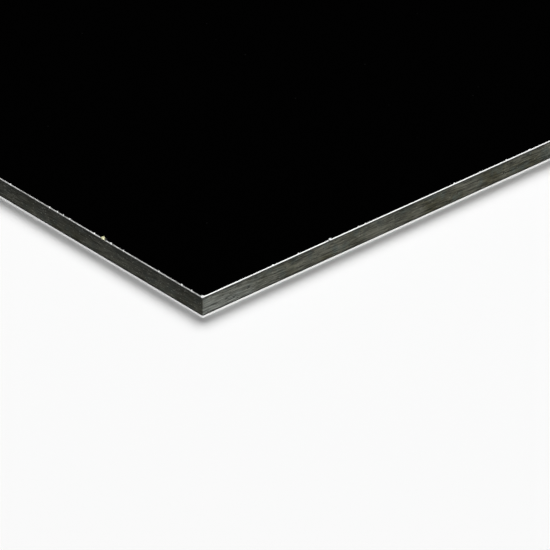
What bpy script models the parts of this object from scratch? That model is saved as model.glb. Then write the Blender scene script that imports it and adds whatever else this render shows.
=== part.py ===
"""Aluminium composite panel, cut to size.

Two thin lacquered aluminium skins are bonded to a black polyethylene core. The saw leaves
the skins as bright lips over a core that lies a little behind them. The panel lies flat with
its back skin down. The origin is the centre of its underside, X runs along the length, Y
across the width, and Z out of the front skin.
"""

import bmesh
import bpy
from mathutils import Vector

# Overall sizes of the cut panel, in metres
PANEL_LENGTH = 0.297
PANEL_WIDTH = 0.210
PANEL_THICKNESS = 0.003

# The layers
SKIN_THICKNESS = 0.0003
BOND_LINE = 0.00002  # clearance that the glue film fills between a skin and the core

# The sawn edge
CORE_SETBACK = 0.00008  # how far the core's cut face lies behind the skins' cut edges
CORE_EASING = 0.00009  # rounding of the core's cut face next to each skin
ARRIS_ROLL = 0.00006  # rounding of each skin's outer arris, where the teeth drag it over

# The corners, seen from above
SKIN_CORNER_ROUND = 0.00014
CORE_CORNER_ROUND = 0.00012

# The nip off the top of the front skin's near left corner
NIP_RUN = 0.00033  # along both cut edges
NIP_DROP = 0.00024  # down the corner

# Facets of the rounded places
CORNER_STEPS = 3
EASING_STEPS = 3
ARRIS_STEPS = 3

CORE_THICKNESS = PANEL_THICKNESS - 2 * (SKIN_THICKNESS + BOND_LINE)
CORE_LENGTH = PANEL_LENGTH - 2 * CORE_SETBACK
CORE_WIDTH = PANEL_WIDTH - 2 * CORE_SETBACK

COLLECTION_NAME = "aluminium_composite_panel"
SAME_PLACE = 1e-7  # two heights closer than this are one
FLAT_NORMAL = 0.999  # a face whose normal is at least this upright is one of the flat faces
SMOOTH_ANGLE = 0.6  # radians, between a bevel's facets and a real corner

# Finishes: colour, roughness, metallic
FRONT_LACQUER = ((0.006, 0.006, 0.007), 0.25, 0.0)
BACK_LACQUER = ((0.012, 0.012, 0.013), 0.55, 0.0)
SAWN_ALUMINIUM = ((0.86, 0.87, 0.86), 0.35, 1.0)
BLACK_POLYETHYLENE = ((0.058, 0.062, 0.050), 0.60, 0.0)


def clear_scene():
    for obj in list(bpy.data.objects):
        bpy.data.objects.remove(obj, do_unlink=True)


def make_material(name, finish):
    colour, roughness, metallic = finish
    material = bpy.data.materials.new(name)
    material.use_nodes = True
    shader = material.node_tree.nodes["Principled BSDF"]
    shader.inputs["Base Color"].default_value = (*colour, 1.0)
    shader.inputs["Roughness"].default_value = roughness
    shader.inputs["Metallic"].default_value = metallic
    return material


def make_block(length, width, thickness):
    """A plate centred over its origin, with its underside at height 0."""
    mesh = bmesh.new()
    bmesh.ops.create_cube(mesh, size=1.0)
    bmesh.ops.translate(mesh, verts=mesh.verts, vec=Vector((0.0, 0.0, 0.5)))
    bmesh.ops.scale(mesh, verts=mesh.verts, vec=Vector((length, width, thickness)))
    return mesh


def upright_edges(mesh):
    """The four edges that stand at the plate's corners, the near left one first."""
    found = []
    for edge in mesh.edges:
        lower, upper = sorted((vert.co for vert in edge.verts), key=lambda place: place.z)
        if upper.z - lower.z > SAME_PLACE:
            found.append(edge)
    return sorted(found, key=lambda edge: edge.verts[0].co.x + edge.verts[0].co.y)


def rim_edges(mesh, height):
    """The outline of the plate's flat face at this height."""
    return [
        edge
        for edge in mesh.edges
        if all(abs(vert.co.z - height) < SAME_PLACE for vert in edge.verts)
    ]


def bevel(mesh, edges, size, steps):
    bmesh.ops.bevel(
        mesh,
        geom=edges,
        offset=size,
        offset_type="OFFSET",
        segments=steps,
        profile=0.5,
        affect="EDGES",
    )


def nip_corner(mesh):
    """Cuts a sloping flat off the top of a skin's near left corner, which is still square."""
    cut = bmesh.ops.bisect_plane(
        mesh,
        geom=[*mesh.verts, *mesh.edges, *mesh.faces],
        plane_co=Vector((NIP_RUN - PANEL_LENGTH / 2, -PANEL_WIDTH / 2, SKIN_THICKNESS)),
        plane_no=Vector((-1 / NIP_RUN, -1 / NIP_RUN, 1 / NIP_DROP)).normalized(),
        clear_outer=True,
    )["geom_cut"]
    bmesh.ops.contextual_create(mesh, geom=[item for item in cut if isinstance(item, bmesh.types.BMEdge)])
    bmesh.ops.recalc_face_normals(mesh, faces=mesh.faces)


def add_piece(name, mesh, height, materials, collection, parent):
    """Turns the mesh into an object at this height, smooth round its bevels."""
    data = bpy.data.meshes.new(name)
    mesh.to_mesh(data)
    mesh.free()
    data.shade_smooth()
    data.set_sharp_from_angle(angle=SMOOTH_ANGLE)
    for material in materials:
        data.materials.append(material)
    piece = bpy.data.objects.new(name, data)
    piece.location.z = height
    piece.parent = parent
    collection.objects.link(piece)
    return piece


def paint_flat_faces(mesh):
    """The first material on the flat faces, and the second wherever the saw or a knock has cut."""
    for face in mesh.faces:
        face.material_index = 0 if abs(face.normal.z) > FLAT_NORMAL else 1


def make_skin(name, outer_height, nipped, lacquer, bare_metal, height, collection, parent):
    """One skin, with its outer arris rolled and its corners blunted by the cut."""
    mesh = make_block(PANEL_LENGTH, PANEL_WIDTH, SKIN_THICKNESS)
    corners = upright_edges(mesh)
    bevel(mesh, corners[1:] if nipped else corners, SKIN_CORNER_ROUND, CORNER_STEPS)
    bevel(mesh, rim_edges(mesh, outer_height), ARRIS_ROLL, ARRIS_STEPS)
    if nipped:
        nip_corner(mesh)
    mesh.normal_update()
    paint_flat_faces(mesh)
    return add_piece(name, mesh, height, [lacquer, bare_metal], collection, parent)


def make_core(material, collection, parent):
    """The core, set back from the skins and eased next to both of them."""
    mesh = make_block(CORE_LENGTH, CORE_WIDTH, CORE_THICKNESS)
    bevel(mesh, upright_edges(mesh), CORE_CORNER_ROUND, CORNER_STEPS)
    bevel(mesh, rim_edges(mesh, 0.0), CORE_EASING, EASING_STEPS)
    bevel(mesh, rim_edges(mesh, CORE_THICKNESS), CORE_EASING, EASING_STEPS)
    height = SKIN_THICKNESS + BOND_LINE
    return add_piece("core", mesh, height, [material], collection, parent)


def main():
    clear_scene()
    collection = bpy.data.collections.new(COLLECTION_NAME)
    bpy.context.scene.collection.children.link(collection)
    panel = bpy.data.objects.new("panel", None)
    collection.objects.link(panel)

    bare_metal = make_material("sawn_aluminium", SAWN_ALUMINIUM)
    front_lacquer = make_material("front_black_lacquer", FRONT_LACQUER)
    back_lacquer = make_material("back_black_lacquer", BACK_LACQUER)
    polyethylene = make_material("black_polyethylene", BLACK_POLYETHYLENE)

    make_skin(
        "back_skin",
        outer_height=0.0,
        nipped=False,
        lacquer=back_lacquer,
        bare_metal=bare_metal,
        height=0.0,
        collection=collection,
        parent=panel,
    )
    make_core(polyethylene, collection, panel)
    make_skin(
        "front_skin",
        outer_height=SKIN_THICKNESS,
        nipped=True,
        lacquer=front_lacquer,
        bare_metal=bare_metal,
        height=PANEL_THICKNESS - SKIN_THICKNESS,
        collection=collection,
        parent=panel,
    )


if __name__ == "__main__":
    main()
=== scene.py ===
"""Dresses a cut-to-size aluminium composite panel and lights it on a pale studio floor.

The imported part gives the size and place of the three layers. Each layer is modelled again with
its sawn edge: aluminium skins with rolled, nicked arrises and lacquer on their flat faces, and
a black polyethylene core scored along its length by the saw.
"""

import math
import random

import bmesh
import bpy
from bpy.props import FloatProperty, FloatVectorProperty, IntProperty, PointerProperty
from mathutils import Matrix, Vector


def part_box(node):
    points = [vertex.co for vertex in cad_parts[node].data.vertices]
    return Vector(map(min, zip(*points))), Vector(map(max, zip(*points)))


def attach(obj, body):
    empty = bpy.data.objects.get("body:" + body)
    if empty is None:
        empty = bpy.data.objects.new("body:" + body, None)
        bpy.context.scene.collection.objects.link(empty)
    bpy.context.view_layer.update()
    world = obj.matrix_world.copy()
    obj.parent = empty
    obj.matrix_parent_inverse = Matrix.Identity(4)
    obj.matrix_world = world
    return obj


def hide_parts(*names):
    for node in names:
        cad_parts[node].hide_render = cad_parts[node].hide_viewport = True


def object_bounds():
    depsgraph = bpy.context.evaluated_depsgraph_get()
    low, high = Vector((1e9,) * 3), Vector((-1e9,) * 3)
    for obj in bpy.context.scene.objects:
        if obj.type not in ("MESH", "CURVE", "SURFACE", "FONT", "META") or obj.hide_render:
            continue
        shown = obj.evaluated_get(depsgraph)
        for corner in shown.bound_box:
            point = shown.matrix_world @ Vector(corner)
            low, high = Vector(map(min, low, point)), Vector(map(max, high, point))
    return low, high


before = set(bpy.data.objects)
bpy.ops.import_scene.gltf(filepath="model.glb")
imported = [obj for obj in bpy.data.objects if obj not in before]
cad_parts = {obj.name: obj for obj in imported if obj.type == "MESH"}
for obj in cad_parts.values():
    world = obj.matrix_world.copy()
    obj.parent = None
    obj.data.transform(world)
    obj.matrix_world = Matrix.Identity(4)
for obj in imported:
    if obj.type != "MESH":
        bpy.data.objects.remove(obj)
CAD_LOW, CAD_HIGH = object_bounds()

bl_info = {
    "name": "Aluminium Composite Panel",
    "version": (1, 0, 0),
    "blender": (4, 5, 0),
    "location": "3D View > Sidebar > Composite Panel",
    "description": "Sawn edges, lacquer and studio for a cut-to-size aluminium composite panel",
    "category": "Add Mesh",
}

MM = 0.001
BODY = "root"
MIDDLE_HEIGHT = (CAD_LOW.z + CAD_HIGH.z) / 2
UPRIGHT = 0.9  # least share of a direction along an axis that counts as along it
FACES_UP = 0.1  # least upward share of a normal where dragged lacquer covers the metal
BROAD_AREA = 0.01  # square metres; only the panel's two flat faces are larger
SMOOTH_ANGLE = math.radians(40)  # between a bevel's facets and a real corner
SAME_PLACE = 1e-7  # metres; two heights closer than this are one
LACQUERED, SAWN, CHIPPED = range(3)  # the order of a skin's materials


# Settings


def length_setting(name, description, default):
    return FloatProperty(
        name=name, description=description, default=default, min=0.0, unit="LENGTH", precision=6
    )


def share_setting(name, description, default):
    return FloatProperty(
        name=name, description=description, default=default, min=0.0, soft_max=1.0, subtype="FACTOR"
    )


def colour_setting(name, description, default):
    return FloatVectorProperty(
        name=name, description=description, default=default, min=0.0, max=1.0, subtype="COLOR"
    )


def angle_setting(name, description, degrees):
    return FloatProperty(
        name=name, description=description, default=math.radians(degrees), subtype="ANGLE"
    )


class SawnEdgeSettings(bpy.types.PropertyGroup):
    nip_run: length_setting("Nip run", "How far the near corner's nip runs each way", 0.33 * MM)
    nip_drop: length_setting("Nip drop", "How far the near corner's nip runs down it", 0.24 * MM)
    skin_corner: length_setting("Skin corner", "Rounding of a skin's corners from above", 0.14 * MM)
    core_corner: length_setting("Core corner", "Rounding of its corners from above", 0.12 * MM)
    corner_steps: IntProperty(
        name="Corner facets", description="Facets round a corner", default=4, min=1, max=12
    )
    arris_roll: length_setting("Arris roll", "Rounding of a skin's outer arris", 0.06 * MM)
    margin: length_setting("Margin", "Finely divided margin of a skin's outer face", 0.66 * MM)
    margin_rows: IntProperty(
        name="Margin rows", description="Rows of faces across the margin", default=4, min=1
    )
    skin_step: length_setting("Skin step", "Spacing of the points along a skin's edge", 0.15 * MM)
    core_step: length_setting("Core step", "Spacing of the points along the core's edge", 0.50 * MM)
    kerf_wave: length_setting("Kerf wave", "How far the saw's line wanders inwards", 0.02 * MM)
    nick_depth: length_setting("Nick depth", "How far in a full nick dents the arris", 0.08 * MM)
    nick_drop: length_setting("Nick drop", "How far a full nick lowers the arris", 0.03 * MM)
    nick_reach: length_setting("Nick reach", "Half the width of a full nick", 0.34 * MM)
    nick_chip: length_setting("Nick chip", "How far in a full nick chips the lacquer", 0.28 * MM)
    notch_depth: length_setting("Notch depth", "How far in the crumb's notch goes", 0.10 * MM)
    notch_drop: length_setting("Notch drop", "How far the notch lowers the arris", 0.20 * MM)
    notch_reach: length_setting("Notch reach", "How far the notch's shoulder reaches", 0.62 * MM)
    crumb_size: FloatVectorProperty(
        name="Crumb size",
        description="The crumb's reach across the face, along the arris and down",
        default=(0.44 * MM, 0.76 * MM, 0.24 * MM),
        min=0.0,
        unit="LENGTH",
        precision=6,
    )
    crumb_rounding: length_setting("Crumb rounding", "Rounding of the crumb's edges", 0.05 * MM)
    crumb_lumps: length_setting("Crumb lumps", "Depth of the lumps on the crumb", 0.02 * MM)
    core_easing: length_setting("Core easing", "Rounding of the core next to a skin", 0.09 * MM)
    score_depth: length_setting("Score depth", "Depth of the saw's scores in the core", 0.06 * MM)
    score_rows: IntProperty(
        name="Score rows", description="Rows of faces up the core's cut face", default=28, min=2
    )


class FinishSettings(bpy.types.PropertyGroup):
    lacquer: colour_setting("Front lacquer", "Black, on the front skin", (0.0003,) * 3)
    back_lacquer: colour_setting("Back lacquer", "Black, on the back skin", (0.004, 0.004, 0.0042))
    dust: colour_setting("Dust", "Fine dust on the lacquer", (0.008, 0.008, 0.008))
    metal: colour_setting("Cut aluminium", "Bare metal on the cut edges", (0.91, 0.915, 0.91))
    # Also the colour of the painted shade on the front skin's short sides
    smear_and_shade: colour_setting("Smeared metal", "Metal dulled by smeared plastic", (0.26, 0.26, 0.25))
    # Also the colour of the painted shade on the core and on the metal next to it
    core_dark_and_shade: colour_setting("Core, in a score", "Deep in a score", (0.004, 0.0045, 0.003))
    core_pale: colour_setting("Core, on a ridge", "Rubbed by the saw", (0.131, 0.131, 0.104))
    core_cool: colour_setting("Core, polished", "Cooler grey patches", (0.092, 0.105, 0.092))
    core_olive: colour_setting("Core, warm", "Olive brown patches", (0.078, 0.075, 0.048))
    # Paler grey towards the near corner of the long sides
    core_corner_pale: colour_setting("Core, scuffed", "Grey by the nip", (0.285, 0.301, 0.277))
    core_pit: colour_setting("Core, in a pit", "Shade in the core's pits", (0.004, 0.004, 0.003))
    core_speck: colour_setting("Core, loose specks", "Specks of sawdust", (0.30, 0.31, 0.28))
    crumb: colour_setting("Crumb", "The yellow crumb caught on the edge", (0.95, 0.95, 0.62))
    crumb_tail: colour_setting("Crumb's tail", "The crumb's duller end", (0.42, 0.42, 0.22))
    front_roughness: share_setting("Front roughness", "The front lacquer's mean roughness", 0.05)
    back_roughness: share_setting("Back roughness", "The back lacquer's mean roughness", 0.50)


class StudioSettings(bpy.types.PropertyGroup):
    floor: colour_setting("Floor", "Colour of the pale floor", (0.90, 0.90, 0.90))
    floor_lift: share_setting("Floor lift", "Light it adds where it is seen or mirrored", 0.02)
    surround: colour_setting("Surround", "The dim room that the panel mirrors", (0.002,) * 3)
    rear_share: share_setting("Rear light", "Share of the floor's light from high behind", 1.03)
    fill_share: share_setting("Fill light", "Share of the floor's light from low in front", 0.172)
    focal_length: FloatProperty(
        name="Focal length", description="On a 36 mm wide sensor, in millimetres", default=235.64
    )
    camera_left: length_setting("Camera, along X", "Distance before the near corner", 0.23639)
    camera_near: length_setting("Camera, along Y", "Distance before the near corner", 0.27846)
    camera_above: length_setting("Camera height", "Height above the front skin", 0.21829)
    camera_pitch: angle_setting("Camera pitch", "Downward tilt", 30.529)
    camera_heading: angle_setting("Camera heading", "Turn from +Y towards +X", 41.675)


# Nicks in a skin's outer arris, as shares of a full nick's size
FAINT, TINY, SMALL, MIDDLE = 0.22, 0.3, 0.4, 0.55

# Nicks in view, as distances in millimetres from the near corner. They are listed one by one, and
# the rest of the arris goes on at random at about the same spacing.
NICKS_ALONG_LENGTH = (
    (11.1, SMALL),
    (15.3, TINY),
    (20.5, MIDDLE),
    (25.2, TINY),
    (26.3, TINY),
    (41.5, SMALL),
    (46.0, TINY),
    (50.6, SMALL),
    (54.7, TINY),
)
NICKS_ALONG_WIDTH = (
    (2.0, TINY),
    (3.8, TINY),
    (8.0, FAINT),
    (14.6, FAINT),
    (17.0, TINY),
    (20.2, SMALL),
    (25.0, FAINT),
    (26.2, FAINT),
    (27.4, TINY),
    (28.9, TINY),
    (36.7, TINY),
)
CRUMB_ALONG_WIDTH = 18.60
VIEWED_LENGTH = 61.0  # how much of each near side is in view
VIEWED_WIDTH = 41.0
NICK_SPACING = 5.0  # mean, where the nicks go on at random
NICK_SEED = 11


# Marks on the core's cut face, as heights above the panel's middle
TORN_ROW = 0.72 * MM
# The band of painted shade just under the front skin runs from this height to the next
SHADE_UNDER_SKIN_START = 0.90 * MM
SHADE_UNDER_SKIN_END = 1.12 * MM


# Modelling


def select_only(obj):
    bpy.ops.object.select_all(action="DESELECT")
    obj.select_set(True)
    bpy.context.view_layer.objects.active = obj


def pick(obj, kind, wanted):
    """In edit mode, selects only the edges or faces that are wanted."""
    bpy.ops.mesh.select_mode(type=kind)
    bpy.ops.mesh.select_all(action="DESELECT")
    mesh = bmesh.from_edit_mesh(obj.data)
    for item in mesh.edges if kind == "EDGE" else mesh.faces:
        if wanted(item):
            item.select_set(True)
    bmesh.update_edit_mesh(obj.data)


def runs_along(edge, axis):
    span = edge.verts[1].co - edge.verts[0].co
    return abs(span[axis]) > UPRIGHT * span.length


def is_flat(face):
    return abs(face.normal.z) > UPRIGHT


def is_broad(face):
    return is_flat(face) and face.calc_area() > BROAD_AREA


def is_rim_at(height):
    """Edges where a flat face at this height turns down into a cut face."""

    def wanted(edge):
        level = all(abs(vert.co.z - height) < SAME_PLACE for vert in edge.verts)
        return level and len({is_flat(face) for face in edge.link_faces}) == 2

    return wanted


def add_block(name, low, high):
    bpy.ops.object.select_all(action="DESELECT")
    bpy.ops.mesh.primitive_cube_add(size=1.0, location=(low + high) / 2, scale=high - low)
    block = bpy.context.object
    block.name = block.data.name = name
    bpy.ops.object.transform_apply(location=True, rotation=True, scale=True)
    return block


def is_near_left(edge, low):
    return all(vert.co.x < low.x + MM and vert.co.y < low.y + MM for vert in edge.verts)


def bevel_corners(block, radius, steps, wanted=lambda edge: True):
    pick(block, "EDGE", lambda edge: runs_along(edge, 2) and wanted(edge))
    bpy.ops.mesh.bevel(offset=radius, segments=steps, affect="EDGES")


def add_margin(block, width, rows, side):
    """Rings the flat face on this side, 1 for the top and -1 for the underside, with rows."""
    pick(block, "FACE", lambda face: is_broad(face) and face.normal.z * side > 0)
    spans = [max(vert.co[axis] for vert in block.data.vertices) * 2 for axis in (0, 1)]
    for row in range(rows):
        before, after = (2 * width * done / rows for done in (row, row + 1))
        shrink = [(span - after) / (span - before) for span in spans]
        bpy.ops.mesh.extrude_region()
        bpy.ops.transform.resize(value=(*shrink, 1.0), center_override=(0.0, 0.0, 0.0))


def open_flat_faces(block):
    pick(block, "FACE", is_broad)
    bpy.ops.mesh.delete(type="ONLY_FACE")


def divide_lengthwise(block, step):
    """Divides the rim along the length and the width, in two passes for each.

    The margins' short edges, which run across the rim, are left whole.
    """
    for axis in (0, 1):
        run = max(vert.co[axis] for vert in block.data.vertices)
        cuts = math.ceil(math.sqrt(2 * run / step)) - 1
        for _ in range(2):
            pick(block, "EDGE", lambda edge: runs_along(edge, axis) and edge.calc_length() > MM)
            bpy.ops.mesh.subdivide(number_cuts=cuts)


def close_flat_faces(block):
    """Fills the two holes that open_flat_faces left, and faces the shell outwards."""
    middle = sum(corner[2] for corner in block.bound_box) / 8
    for side in (-1, 1):
        pick(
            block,
            "EDGE",
            lambda edge: edge.is_boundary and side * (edge.verts[0].co.z - middle) > 0,
        )
        bpy.ops.mesh.edge_face_add()
    face_outwards()


def face_outwards():
    bpy.ops.mesh.select_all(action="SELECT")
    bpy.ops.mesh.normals_make_consistent(inside=False)


def displace(block, group, depth, texture, grain_size):
    """Pushes a vertex group inwards by up to this depth, by a texture with grains of this size."""
    bpy.ops.object.empty_add(location=(0.0, 0.0, 0.0))
    grain = bpy.context.object
    grain.scale = grain_size
    bpy.context.view_layer.update()
    select_only(block)
    modifier = block.modifiers.new("relief", "DISPLACE")
    modifier.texture = texture
    modifier.texture_coords = "OBJECT"
    modifier.texture_coords_object = grain
    modifier.vertex_group = group
    modifier.mid_level = 0.0
    modifier.strength = -depth
    bpy.ops.object.modifier_apply(modifier=modifier.name)
    bpy.data.objects.remove(grain)


def group_vertices(block, name, wanted):
    indices = [vert.index for vert in block.data.vertices if wanted(vert.co)]
    block.vertex_groups.new(name=name).add(indices, 1.0, "REPLACE")
    return name


def cloud_texture(name, depth):
    texture = bpy.data.textures.new(name, "CLOUDS")
    texture.noise_basis = "BLENDER_ORIGINAL"
    texture.noise_scale = 1.0
    texture.noise_depth = depth
    return texture


def side_gaps(place, low, high):
    """How far a place lies in from each side, as (axis along the side, whether it is near)."""
    return {
        (1, True): place[0] - low.x,
        (1, False): high.x - place[0],
        (0, True): place[1] - low.y,
        (0, False): high.y - place[1],
    }


def plan_nicks(low, high):
    """For each side, the places of its nicks along it and their sizes."""
    chance = random.Random(NICK_SEED)
    plan = {}
    for axis, in_view, viewed in (
        (0, NICKS_ALONG_LENGTH, VIEWED_LENGTH),
        (1, NICKS_ALONG_WIDTH, VIEWED_WIDTH),
    ):
        for near in (True, False):
            marks = []
            along = low[axis] + NICK_SPACING * MM
            if near:
                marks = [(low[axis] + distance * MM, size) for distance, size in in_view]
                along = low[axis] + viewed * MM
            while along < high[axis] - NICK_SPACING * MM / 2:
                marks.append((along, chance.choice((TINY, TINY, SMALL, MIDDLE))))
                along += NICK_SPACING * MM * chance.uniform(0.3, 1.7)
            plan[axis, near] = marks
    return plan


def finish_piece(piece, slot, *nodes):
    """Smooths a piece round its bevels, keeps its broad faces flat and hands it to the part."""
    select_only(piece)
    bpy.ops.object.shade_smooth_by_angle(angle=SMOOTH_ANGLE)
    bpy.ops.object.mode_set(mode="EDIT")
    pick(piece, "FACE", is_broad)
    bpy.ops.mesh.faces_shade_flat()
    bpy.ops.object.mode_set(mode="OBJECT")
    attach(piece, BODY)
    if nodes:
        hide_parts(*nodes)


# Shader building


def connect(tree, socket, value):
    """Links the socket from another one, or sets its value."""
    if isinstance(value, bpy.types.NodeSocket):
        tree.links.new(value, socket)
    else:
        socket.default_value = value


def add_node(tree, kind, values=None, **settings):
    """A node with its settings, and its inputs set from values or linked from sockets."""
    node = tree.nodes.new(kind)
    for name, value in settings.items():
        setattr(node, name, value)
    for name, value in (values or {}).items():
        connect(tree, node.inputs[name], value)
    return node


def calculate(tree, operation, first, second=0.0):
    return add_node(tree, "ShaderNodeMath", {0: first, 1: second}, operation=operation).outputs[0]


def stretch(tree, place, per_metre):
    return add_node(
        tree, "ShaderNodeVectorMath", {0: place, 1: per_metre}, operation="MULTIPLY"
    ).outputs[0]


def spread(tree, value, low, high, from_low=0.0, from_high=1.0):
    """Maps a value that runs over from_low to from_high onto low to high."""
    ends = {"From Min": from_low, "From Max": from_high, "To Min": low, "To Max": high}
    return add_node(tree, "ShaderNodeMapRange", {"Value": value, **ends}).outputs["Result"]


def as_colour(value):
    return value if isinstance(value, bpy.types.NodeSocket) else (*value, 1.0)


def mix_colours(tree, share, first, second):
    """Mixes two colours by a share, each one a colour or a socket."""
    node = add_node(tree, "ShaderNodeMix", data_type="RGBA")
    factor, start, end = (socket for socket in node.inputs if socket.enabled)
    connect(tree, factor, share)
    connect(tree, start, as_colour(first))
    connect(tree, end, as_colour(second))
    return next(socket for socket in node.outputs if socket.enabled)


def new_group(name, inputs, outputs):
    """A shared effect of this name, with its input and output sockets."""
    tree = bpy.data.node_groups.new(name, "ShaderNodeTree")
    for socket_name, default in inputs.items():
        kind = "NodeSocketVector" if isinstance(default, tuple) else "NodeSocketFloat"
        socket = tree.interface.new_socket(socket_name, in_out="INPUT", socket_type=kind)
        socket.default_value = default
    for socket_name in outputs:
        tree.interface.new_socket(socket_name, in_out="OUTPUT", socket_type="NodeSocketFloat")
    given = tree.nodes.new("NodeGroupInput").outputs
    made = tree.nodes.new("NodeGroupOutput").inputs
    return tree, given, made


def place_group(tree, name, **values):
    """Places a shared effect, with its inputs named by keywords such as per_metre."""
    node = add_node(tree, "ShaderNodeGroup", node_tree=bpy.data.node_groups[name])
    for key, value in values.items():
        connect(tree, node.inputs[key.replace("_", " ").title()], value)
    return node.outputs


def scatter_flecks(tree, place, per_metre, share, radius):
    """How much of a fleck lies here, with the cells' number per metre along each axis."""
    return place_group(
        tree, "flecks", position=place, per_metre=per_metre, share=share, radius=radius
    )["Flecks"]


def build_saw_streaks():
    """Streaks that a saw leaves along an edge. Tilt is how far they climb along it."""
    tree, given, made = new_group(
        "saw_streaks",
        inputs={
            "Position": (0.0, 0.0, 0.0),
            "Per Metre": (300.0, 300.0, 6000.0),
            "Tilt": (0.0, 0.0, 0.0),
            "Contrast": 0.2,
        },
        outputs=["Streaks", "Height"],
    )
    turned = add_node(
        tree, "ShaderNodeMapping", {"Vector": given["Position"], "Rotation": given["Tilt"]}
    )
    noise = add_node(
        tree,
        "ShaderNodeTexNoise",
        {
            "Vector": stretch(tree, turned.outputs[0], given["Per Metre"]),
            "Scale": 1.0,
            "Detail": 5.0,
            "Roughness": 0.62,
        },
    ).outputs["Fac"]
    low = calculate(tree, "SUBTRACT", 0.5, given["Contrast"])
    high = calculate(tree, "ADD", 0.5, given["Contrast"])
    connect(tree, made["Streaks"], spread(tree, noise, 0.0, 1.0, low, high))
    connect(tree, made["Height"], noise)


def build_flecks():
    """Scattered flecks in a share of the cells that the surface is divided into."""
    tree, given, made = new_group(
        "flecks",
        inputs={
            "Position": (0.0, 0.0, 0.0),
            "Per Metre": (1000.0, 1000.0, 1000.0),
            "Share": 0.1,
            "Radius": 0.3,
        },
        outputs=["Flecks"],
    )
    cells = add_node(
        tree,
        "ShaderNodeTexVoronoi",
        {"Vector": stretch(tree, given["Position"], given["Per Metre"]), "Scale": 1.0},
    ).outputs
    inner = calculate(tree, "MULTIPLY", given["Radius"], 0.4)
    near = spread(tree, cells["Distance"], 0.0, 1.0, given["Radius"], inner)
    lot = add_node(tree, "ShaderNodeSeparateColor", {"Color": cells["Color"]}).outputs["Red"]
    chosen = calculate(tree, "LESS_THAN", lot, given["Share"])
    connect(tree, made["Flecks"], calculate(tree, "MULTIPLY", near, chosen))


def build_handling():
    """What handling and coating leave on a lacquer: broad smudges and a fine orange peel."""
    tree, given, made = new_group(
        "handling", inputs={"Position": (0.0, 0.0, 0.0)}, outputs=["Smudge", "Peel"]
    )
    smudge = {"Scale": 38.0, "Detail": 4.0, "Roughness": 0.55, "Distortion": 0.6}
    peel = {"Scale": 1400.0, "Detail": 2.0, "Roughness": 0.5}
    for name, values in (("Smudge", smudge), ("Peel", peel)):
        noise = add_node(tree, "ShaderNodeTexNoise", {"Vector": given["Position"], **values})
        connect(tree, made[name], noise.outputs["Fac"])


def new_material(name):
    material = bpy.data.materials.new(name)
    material.use_nodes = True
    tree = material.node_tree
    return material, tree, tree.nodes["Principled BSDF"].inputs


def object_place(tree):
    return add_node(tree, "ShaderNodeTexCoord").outputs["Object"]


def facing(tree, axis):
    """How squarely the surface faces along an axis, either way."""
    normal = add_node(tree, "ShaderNodeTexCoord").outputs["Normal"]
    parts = add_node(tree, "ShaderNodeSeparateXYZ", {"Vector": normal}).outputs
    return calculate(tree, "ABSOLUTE", parts[axis])


def height_of(tree, place):
    return add_node(tree, "ShaderNodeSeparateXYZ", {"Vector": place}).outputs["Z"]


def add_bump(tree, shader, height, strength, distance):
    values = {"Height": height, "Strength": strength, "Distance": distance}
    connect(tree, shader["Normal"], add_node(tree, "ShaderNodeBump", values).outputs["Normal"])


def lacquer_material(name, lacquer, dust_colour, roughness, dust_share):
    material, tree, shader = new_material(name)
    place = object_place(tree)
    handling = place_group(tree, "handling", position=place)
    dust = scatter_flecks(tree, place, (900.0,) * 3, dust_share, 0.12)
    connect(tree, shader["Base Color"], mix_colours(tree, dust, lacquer, dust_colour))
    worn = spread(tree, handling["Smudge"], roughness * 0.75, roughness * 1.25, 0.3, 0.7)
    connect(tree, shader["Roughness"], worn)
    add_bump(tree, shader, handling["Peel"], 0.2, 0.003 * MM)
    return material


def metal_material(name, finish, smear_and_shade):
    """Cut aluminium, with plastic smeared over the front skin's in patches and next to the core. The
    patches lie only on the short sides, where they are partly painted shade, and the dark band next
    to the core is partly painted shade.
    """
    material, tree, shader = new_material(name)
    place = object_place(tree)
    fine = place_group(
        tree, "saw_streaks", position=place, per_metre=(900.0, 900.0, 14000.0), contrast=0.25
    )
    smears = place_group(
        tree, "saw_streaks", position=place, per_metre=(1600.0, 1600.0, 3000.0), contrast=0.12
    )["Streaks"]
    height = height_of(tree, place)
    upper = spread(tree, height, 0.0, 1.0, MIDDLE_HEIGHT, MIDDLE_HEIGHT + MM)
    short_side = spread(tree, facing(tree, "X"), 0.0, 1.0, 0.25, 0.75)
    smears = spread(tree, smears, 0.4, 1.0)
    # Smeared plastic in patches on the front skin's short sides only, where it also paints shade
    smear_and_painted_shade = calculate(tree, "MULTIPLY", smears, calculate(tree, "MULTIPLY", short_side, upper))
    colour = mix_colours(tree, smear_and_painted_shade, finish.metal, smear_and_shade)
    # A dark band of smeared plastic and painted shade on the front skin next to the core
    core_smear_and_shade = spread(tree, height, 0.9, 0.0, MIDDLE_HEIGHT + 1.24 * MM, MIDDLE_HEIGHT + 1.32 * MM)
    core_smear_and_shade = calculate(tree, "MULTIPLY", core_smear_and_shade, upper)
    connect(tree, shader["Base Color"], mix_colours(tree, core_smear_and_shade, colour, finish.core_dark_and_shade))
    connect(tree, shader["Metallic"], 0.25)
    connect(tree, shader["Roughness"], spread(tree, fine["Streaks"], 0.30, 0.55))
    add_bump(tree, shader, fine["Height"], 0.5, 0.01 * MM)
    return material


def core_streaks(tree, place):
    """Long and fine streaks that climb a little along the edge."""
    layers = []
    for per_metre, contrast, share in (
        ((230.0, 230.0, 4600.0), 0.12, 0.45),
        ((700.0, 700.0, 8500.0), 0.14, 0.55),
    ):
        streaks = place_group(
            tree,
            "saw_streaks",
            position=place,
            per_metre=per_metre,
            tilt=(0.03, -0.03, 0.0),
            contrast=contrast,
        )
        layers.append(calculate(tree, "MULTIPLY", streaks["Streaks"], share))
    return calculate(tree, "ADD", *layers)


def over_height(tree, height, low, high, reach):
    """Maps the height, within this reach of the panel's middle, onto low to high."""
    return spread(tree, height, low, high, MIDDLE_HEIGHT - reach, MIDDLE_HEIGHT + reach)


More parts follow.
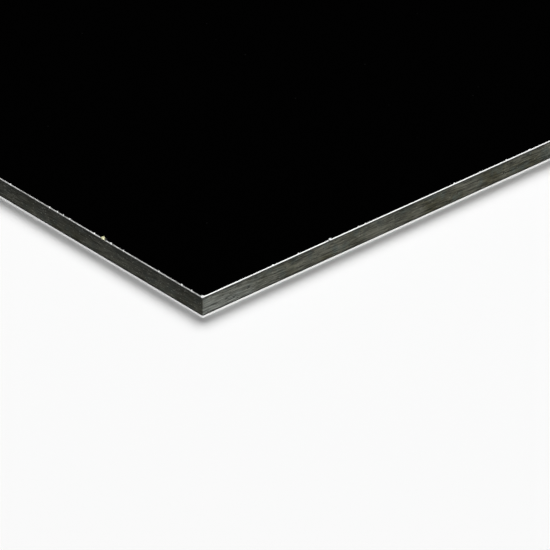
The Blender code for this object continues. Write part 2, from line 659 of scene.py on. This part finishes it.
def core_tones(tree, place, height, finish):
    """The rubbed ridges' tone, in patches, and paler over the first stretch of the long sides."""
    tone = finish.core_pale
    for patch, scale, low, high in (
        (finish.core_olive, 300.0, 0.46, 0.60),
        (finish.core_cool, 600.0, 0.50, 0.66),
    ):
        noise = add_node(
            tree,
            "ShaderNodeTexNoise",
            {"Vector": place, "Scale": scale, "Detail": 3.0, "Roughness": 0.5},
        ).outputs["Fac"]
        tone = mix_colours(tree, spread(tree, noise, 0.0, 1.0, low, high), tone, patch)
    along = add_node(tree, "ShaderNodeSeparateXYZ", {"Vector": place}).outputs["X"]
    # Paler towards the near corner on the long sides, and more so lower down
    corner_paling = spread(tree, along, 0.7, 0.0, CAD_LOW.x + 2 * MM, CAD_LOW.x + 14 * MM)
    corner_paling = calculate(tree, "MULTIPLY", corner_paling, facing(tree, "Y"))
    corner_paling = calculate(tree, "MULTIPLY", corner_paling, over_height(tree, height, 1.25, 0.55, 0.9 * MM))
    return mix_colours(tree, corner_paling, tone, finish.core_corner_pale)


def torn_row(tree, place, height):
    """A row of dark tears along the upper part of the core."""
    tears = scatter_flecks(tree, place, (1000.0, 1000.0, 6500.0), 0.50, 0.50)
    off_row = calculate(tree, "SUBTRACT", height, MIDDLE_HEIGHT + TORN_ROW)
    off_row = calculate(tree, "ABSOLUTE", off_row)
    by_row = spread(tree, off_row, 0.95, 0.0, 0.08 * MM, 0.30 * MM)
    return calculate(tree, "MULTIPLY", tears, by_row)


def painted_core_shade(tree, height):
    """Paints shade on the core: darker upwards, and more so on the short sides."""
    short_side = calculate(
        tree, "MULTIPLY", over_height(tree, height, 0.50, 0.88, MM), facing(tree, "X")
    )
    return calculate(tree, "MAXIMUM", short_side, over_height(tree, height, 0.0, 0.14, MM))


def core_material(finish):
    """Polyethylene as the saw leaves it: streaked, patchy in tone, pitted and flecked."""
    material, tree, shader = new_material("sawn_polyethylene")
    place = object_place(tree)
    height = height_of(tree, place)
    streaks = core_streaks(tree, place)
    pits = scatter_flecks(tree, place, (1700.0, 1700.0, 6000.0), 0.14, 0.4)
    specks = scatter_flecks(tree, place, (2600.0, 2600.0, 7000.0), 0.12, 0.35)
    specks = calculate(tree, "MULTIPLY", specks, 0.35)
    # Painted shade in a band just under the front skin
    painted_shade_under_skin = spread(tree, height, 0.0, 0.9, MIDDLE_HEIGHT + SHADE_UNDER_SKIN_START, MIDDLE_HEIGHT + SHADE_UNDER_SKIN_END)
    colour = mix_colours(tree, streaks, finish.core_dark_and_shade, core_tones(tree, place, height, finish))
    for share, tone in (
        (pits, finish.core_pit),
        (torn_row(tree, place, height), finish.core_dark_and_shade),
        # painted shade up the core, more on the short sides
        (painted_core_shade(tree, height), finish.core_dark_and_shade),
        (specks, finish.core_speck),
        # the painted shade under the front skin
        (painted_shade_under_skin, finish.core_dark_and_shade),
    ):
        colour = mix_colours(tree, share, colour, tone)
    connect(tree, shader["Base Color"], colour)
    connect(tree, shader["Roughness"], spread(tree, streaks, 0.75, 0.50))
    connect(tree, shader["Specular IOR Level"], 0.15)
    add_bump(tree, shader, calculate(tree, "SUBTRACT", streaks, pits), 0.6, 0.03 * MM)
    return material


def crumb_material(finish):
    """Pale yellow plastic that is duller towards its far end."""
    material, tree, shader = new_material("yellow_plastic")
    place = object_place(tree)
    grain = add_node(
        tree, "ShaderNodeTexNoise", {"Vector": place, "Scale": 9000.0, "Detail": 3.0}
    ).outputs["Fac"]
    along = add_node(tree, "ShaderNodeSeparateXYZ", {"Vector": place}).outputs["Y"]
    middle = CAD_LOW.y + CRUMB_ALONG_WIDTH * MM
    tail = spread(tree, along, 0.0, 1.0, middle - 0.05 * MM, middle + 0.30 * MM)
    body = mix_colours(tree, tail, finish.crumb, finish.crumb_tail)
    shaded = tuple(0.7 * part for part in finish.crumb_tail)
    dark = spread(tree, grain, 0.35, 0.0, 0.35, 0.60)
    connect(tree, shader["Base Color"], mix_colours(tree, dark, body, shaded))
    connect(tree, shader["Roughness"], spread(tree, grain, 0.35, 0.65))
    add_bump(tree, shader, grain, 0.5, 0.03 * MM)
    return material


def floor_material(studio):
    """A pale floor that keeps its shadows, lifted to white for the camera and reflections."""
    material, tree, shader = new_material("pale_floor")
    connect(tree, shader["Base Color"], (*studio.floor, 1.0))
    connect(tree, shader["Roughness"], 0.9)
    connect(tree, shader["Specular IOR Level"], 0.0)
    path = add_node(tree, "ShaderNodeLightPath").outputs
    seen = path["Is Camera Ray"]
    for ray in ("Is Glossy Ray", "Is Transmission Ray"):
        seen = calculate(tree, "MAXIMUM", seen, path[ray])
    away = add_node(tree, "ShaderNodeVectorMath", {0: object_place(tree)}, operation="LENGTH")
    lift = spread(tree, away.outputs["Value"], studio.floor_lift, 1.0, 0.5, 3.0)
    connect(tree, shader["Emission Color"], (1.0, 1.0, 1.0, 1.0))
    connect(tree, shader["Emission Strength"], calculate(tree, "MULTIPLY", seen, lift))
    return material


# Operators


class COMPOSITEPANEL_OT_skins(bpy.types.Operator):
    """Model the two aluminium skins, bare where the saw cut them and lacquered on their faces"""

    bl_idname = "composite_panel.skins"
    bl_label = "Aluminium Skins"

    def execute(self, context):
        edge = context.scene.sawn_edge
        finish = context.scene.panel_finish
        metal = metal_material("sawn_aluminium", finish, finish.smear_and_shade)
        clean = metal_material("chipped_aluminium", finish, finish.metal)
        front = lacquer_material(
            "black_front_lacquer", finish.lacquer, finish.dust, finish.front_roughness, 0.03
        )
        back = lacquer_material(
            "black_back_lacquer", finish.back_lacquer, finish.dust, finish.back_roughness, 0.06
        )
        self.add_skin("front_skin", 1, (front, metal, clean), "front_lacquered_aluminium", edge)
        self.add_skin("back_skin", -1, (back, metal), "back_lacquered_aluminium", edge)
        return {"FINISHED"}

    def add_skin(self, node, outer_side, materials, slot, edge):
        """outer_side is 1 where the lacquered face is on top, and -1 where it is underneath.

        The materials are the lacquer, the sawn metal and, on the front skin, the cleaner metal.
        """
        low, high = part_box(node)
        front = outer_side > 0
        outer_height = high.z if front else low.z
        nicks = plan_nicks(low, high) if front else {}
        skin = add_block("lacquered_" + node, low, high)
        bpy.ops.object.mode_set(mode="EDIT")
        bevel_corners(
            skin,
            edge.skin_corner,
            edge.corner_steps,
            lambda part: not (front and is_near_left(part, low)),
        )
        add_margin(skin, edge.margin, edge.margin_rows, outer_side)
        add_margin(skin, edge.margin, 1, -outer_side)
        open_flat_faces(skin)
        pick(skin, "EDGE", is_rim_at(outer_height))
        bpy.ops.mesh.bevel(offset=edge.arris_roll, segments=3, affect="EDGES")
        divide_lengthwise(skin, edge.skin_step if front else 2 * edge.skin_step)
        bpy.ops.object.mode_set(mode="OBJECT")
        self.roughen_cut(skin, low, high, edge)
        bpy.ops.object.mode_set(mode="EDIT")
        close_flat_faces(skin)
        for side, marks in nicks.items():
            for size in sorted({size for _, size in marks}):
                places = [along for along, own_size in marks if own_size == size]
                dent = [size * part for part in (edge.nick_depth, edge.nick_drop, edge.nick_reach)]
                self.dent_arris(skin, low, high, side, places, dent, edge)
        if front:
            dent = [edge.notch_depth, edge.notch_drop, edge.notch_reach]
            places = [low.y + CRUMB_ALONG_WIDTH * MM]
            self.dent_arris(skin, low, high, (1, True), places, dent, edge)
            self.nip_corner(skin, low, high, edge)
        bpy.ops.object.mode_set(mode="OBJECT")
        for material in materials:
            skin.data.materials.append(material)
        self.bare_the_cut(skin, low, high, nicks, front, edge)
        finish_piece(skin, slot, node)

    def roughen_cut(self, skin, low, high, edge):
        """Lets the saw's line wander inwards, without the outer part of the rolled arris."""
        group = group_vertices(
            skin,
            "cut_face",
            lambda co: min(side_gaps(co, low, high).values()) < edge.arris_roll / 2,
        )
        grain_size = (1.4 * MM, 1.4 * MM, 0.5 * MM)
        displace(skin, group, edge.kerf_wave, cloud_texture("kerf_wander", 3), grain_size)

    def dent_arris(self, skin, low, high, side, places, dent, edge):
        """Dents the upper arris of one side at each place, with a soft shoulder round it.

        A dent is how far it goes inwards and down, and how far its shoulder reaches.
        """
        axis, near = side
        across = 1 - axis
        line = low[across] if near else high[across]
        depth, drop, reach = dent
        rolled = 1.1 * edge.arris_roll
        bpy.ops.mesh.select_mode(type="VERT")
        bpy.ops.mesh.select_all(action="DESELECT")
        mesh = bmesh.from_edit_mesh(skin.data)
        for vert in mesh.verts:
            on_arris = abs(vert.co[across] - line) < rolled and high.z - vert.co.z < rolled
            if on_arris and any(abs(vert.co[axis] - place) < edge.skin_step for place in places):
                vert.select_set(True)
        bmesh.update_edit_mesh(skin.data)
        push = Vector((0.0, 0.0, -drop))
        push[across] = depth if near else -depth
        bpy.ops.transform.translate(
            value=push,
            use_proportional_edit=True,
            proportional_edit_falloff="SMOOTH",
            proportional_size=reach,
        )

    def nip_corner(self, skin, low, high, edge):
        """Cuts a sloping flat off the top of the near left corner."""
        bpy.ops.mesh.select_all(action="SELECT")
        bpy.ops.mesh.bisect(
            plane_co=(low.x + edge.nip_run, low.y, high.z),
            plane_no=Vector((-1 / edge.nip_run, -1 / edge.nip_run, 1 / edge.nip_drop)).normalized(),
            clear_outer=True,
        )
        pick(skin, "EDGE", lambda part: part.is_boundary)
        bpy.ops.mesh.edge_face_add()
        face_outwards()

    def bare_the_cut(self, skin, low, high, nicks, front, edge):
        """Bares the metal where the saw has cut, and the cleaner metal of the nip and the nicks.

        Between the nicks the saw has dragged the front lacquer over the arris.
        """
        for face in skin.data.polygons:
            gaps = side_gaps(face.center, low, high)
            side = min(gaps, key=gaps.get)
            chipped = any(
                abs(face.center[side[0]] - along) < edge.nick_reach * size
                and gaps[side] < edge.nick_chip * size
                for along, size in nicks.get(side, ())
            )
            dragged = front and face.normal.z > FACES_UP
            at_edge = gaps[side] < edge.arris_roll + edge.kerf_wave
            in_corner = gaps[0, True] < edge.nip_run and gaps[1, True] < edge.nip_run
            nipped = front and in_corner and not is_flat(face)
            sawn = at_edge and not dragged and not is_flat(face)
            face.material_index = CHIPPED if chipped or nipped else SAWN if sawn else LACQUERED


class COMPOSITEPANEL_OT_core(bpy.types.Operator):
    """Model the polyethylene core, set back between the skins and scored by the saw"""

    bl_idname = "composite_panel.core"
    bl_label = "Polyethylene Core"

    def execute(self, context):
        edge = context.scene.sawn_edge
        low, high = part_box("core")
        core = add_block("sawn_core", low, high)
        bpy.ops.object.mode_set(mode="EDIT")
        bevel_corners(core, edge.core_corner, edge.corner_steps)
        for side in (1, -1):
            add_margin(core, edge.margin, 1, side)
        open_flat_faces(core)
        for height in (low.z, high.z):
            pick(core, "EDGE", is_rim_at(height))
            bpy.ops.mesh.bevel(offset=edge.core_easing, segments=3, affect="EDGES")
        pick(core, "EDGE", lambda part: runs_along(part, 2) and part.calc_length() > MM)
        bpy.ops.mesh.subdivide(number_cuts=edge.score_rows - 1)
        divide_lengthwise(core, edge.core_step)
        close_flat_faces(core)
        bpy.ops.object.mode_set(mode="OBJECT")
        self.score_cut(core, low, high, edge)
        core.data.materials.append(core_material(context.scene.panel_finish))
        finish_piece(core, "polyethylene_core", "core")
        return {"FINISHED"}

    def score_cut(self, core, low, high, edge):
        """Scores the upright part of the cut face along its length."""
        group = group_vertices(
            core,
            "cut_face",
            lambda co: low.z + edge.core_easing < co.z < high.z - edge.core_easing,
        )
        grain_size = (5 * MM, 5 * MM, 0.22 * MM)
        displace(core, group, edge.score_depth, cloud_texture("saw_scores", 2), grain_size)


class COMPOSITEPANEL_OT_crumb(bpy.types.Operator):
    """Model the yellow crumb that is caught in a notch of the front skin's short side"""

    bl_idname = "composite_panel.crumb"
    bl_label = "Caught Crumb"

    def execute(self, context):
        edge = context.scene.sawn_edge
        low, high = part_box("front_skin")
        size = Vector(edge.crumb_size)
        middle = low.y + CRUMB_ALONG_WIDTH * MM
        corner = Vector((low.x, middle - size.y / 2, high.z - size.z))
        crumb = add_block("caught_crumb", corner, corner + size)
        bpy.ops.object.mode_set(mode="EDIT")
        # The inner edges move by these shares of its size, so that it narrows to a wedge
        for near, push in ((True, (-0.30, 0.55, 0.0)), (False, (0.0, -0.18, 0.0))):
            pick(crumb, "EDGE", lambda part: self.is_inner_corner(part, low, middle, near))
            bpy.ops.transform.translate(value=Vector(push) * size)
        bpy.ops.mesh.select_all(action="SELECT")
        bpy.ops.mesh.bevel(offset=edge.crumb_rounding, segments=2, affect="EDGES")
        bpy.ops.mesh.subdivide(number_cuts=3)
        bpy.ops.object.mode_set(mode="OBJECT")
        group = group_vertices(crumb, "all_over", lambda co: True)
        displace(crumb, group, edge.crumb_lumps, cloud_texture("crumb_lumps", 2), (0.14 * MM,) * 3)
        crumb.data.materials.append(crumb_material(context.scene.panel_finish))
        finish_piece(crumb, None)
        return {"FINISHED"}

    def is_inner_corner(self, part, low, middle, near):
        place = part.verts[0].co
        return runs_along(part, 2) and place.x > low.x + SAME_PLACE and (place.y < middle) == near


class COMPOSITEPANEL_OT_studio(bpy.types.Operator):
    """Set up the pale floor, the soft lights, the dim room and the camera"""

    bl_idname = "composite_panel.studio"
    bl_label = "Studio"

    def execute(self, context):
        studio = context.scene.panel_studio
        context.scene.view_settings.view_transform = "Standard"
        self.add_floor(studio)
        self.add_room(context.scene, studio)
        self.add_softbox(
            "rear_softbox", studio.rear_share, heading=42, height=57, distance=3.6, side=2.2
        )
        self.add_softbox(
            "fill_softbox", studio.fill_share, heading=218, height=9.5, distance=3.4, side=1.1
        )
        self.add_camera(context.scene, studio)
        return {"FINISHED"}

    def add_floor(self, studio):
        bpy.ops.object.select_all(action="DESELECT")
        bpy.ops.mesh.primitive_plane_add(size=12.0, location=(0.0, 0.0, CAD_LOW.z))
        floor = bpy.context.object
        floor.name = floor.data.name = "studio_floor"
        floor.data.materials.append(floor_material(studio))

    def add_room(self, scene, studio):
        """A dim room with a white backdrop, which fades out upwards where the panel mirrors it."""
        world = bpy.data.worlds.new("dim_room")
        world.use_nodes = True
        tree = world.node_tree
        path = add_node(tree, "ShaderNodeLightPath").outputs
        mirrored = calculate(tree, "MAXIMUM", path["Is Glossy Ray"], path["Is Transmission Ray"])
        # In the world, the height of Generated is the sine of the angle above the floor
        upwards = height_of(tree, add_node(tree, "ShaderNodeTexCoord").outputs["Generated"])
        faded = calculate(tree, "POWER", spread(tree, upwards, 1.0, 0.0, 0.07, 0.37), 2.0)
        mirrored = calculate(tree, "MULTIPLY", mirrored, faded)
        seen = calculate(tree, "MAXIMUM", path["Is Camera Ray"], mirrored)
        backdrop = mix_colours(tree, seen, studio.surround, (1.0, 1.0, 1.0))
        connect(tree, tree.nodes["Background"].inputs["Color"], backdrop)
        scene.world = world

    def add_softbox(self, name, share, heading, height, distance, side):
        """An area lamp that gives the floor this share of plain white light.

        heading is in degrees round from +Y towards +X, and height in degrees above the floor. The
        lacquer doesn't mirror the lamp, which would turn the whole black face grey.
        """
        turn, rise = math.radians(heading), math.radians(height)
        toward = Vector(
            (math.sin(turn) * math.cos(rise), math.cos(turn) * math.cos(rise), math.sin(rise))
        )
        bpy.ops.object.light_add(type="AREA", location=toward * distance)
        lamp = bpy.context.object
        lamp.name = lamp.data.name = name
        lamp.data.size = side
        lamp.data.energy = share * math.pi**2 * distance**2 / math.sin(rise)
        lamp.rotation_euler = toward.to_track_quat("Z", "Y").to_euler()
        lamp.visible_glossy = False

    def add_camera(self, scene, studio):
        place = Vector(
            (
                CAD_LOW.x - studio.camera_left,
                CAD_LOW.y - studio.camera_near,
                CAD_HIGH.z + studio.camera_above,
            )
        )
        tilt = (math.pi / 2 - studio.camera_pitch, 0.0, -studio.camera_heading)
        bpy.ops.object.camera_add(location=place, rotation=tilt)
        camera = bpy.context.object
        camera.name = camera.data.name = "panel_camera"
        camera.data.sensor_width = 36.0
        camera.data.lens = studio.focal_length
        camera.data.clip_start = 10 * MM
        scene.camera = camera


class COMPOSITEPANEL_PT_sidebar(bpy.types.Panel):
    """Settings and build buttons for the composite panel"""

    bl_idname = "COMPOSITEPANEL_PT_sidebar"
    bl_label = "Composite Panel"
    bl_space_type = "VIEW_3D"
    bl_region_type = "UI"
    bl_category = "Composite Panel"

    def draw(self, context):
        for operator in OPERATORS:
            self.layout.operator(operator.bl_idname)
        for name, group in SETTINGS.items():
            box = self.layout.box()
            box.label(text=name.replace("_", " ").title())
            for setting in group.__annotations__:
                box.prop(getattr(context.scene, name), setting)


OPERATORS = (
    COMPOSITEPANEL_OT_skins,
    COMPOSITEPANEL_OT_core,
    COMPOSITEPANEL_OT_crumb,
    COMPOSITEPANEL_OT_studio,
)
SETTINGS = {
    "sawn_edge": SawnEdgeSettings,
    "panel_finish": FinishSettings,
    "panel_studio": StudioSettings,
}


def register():
    for kind in (*SETTINGS.values(), *OPERATORS, COMPOSITEPANEL_PT_sidebar):
        bpy.utils.register_class(kind)
    for name, group in SETTINGS.items():
        setattr(bpy.types.Scene, name, PointerProperty(type=group))


def unregister():
    for name in SETTINGS:
        delattr(bpy.types.Scene, name)
    for kind in reversed((*SETTINGS.values(), *OPERATORS, COMPOSITEPANEL_PT_sidebar)):
        bpy.utils.unregister_class(kind)


def main():
    register()
    build_saw_streaks()
    build_flecks()
    build_handling()
    bpy.ops.composite_panel.skins()
    bpy.ops.composite_panel.core()
    bpy.ops.composite_panel.crumb()
    bpy.ops.composite_panel.studio()


if __name__ == "__main__":
    main()
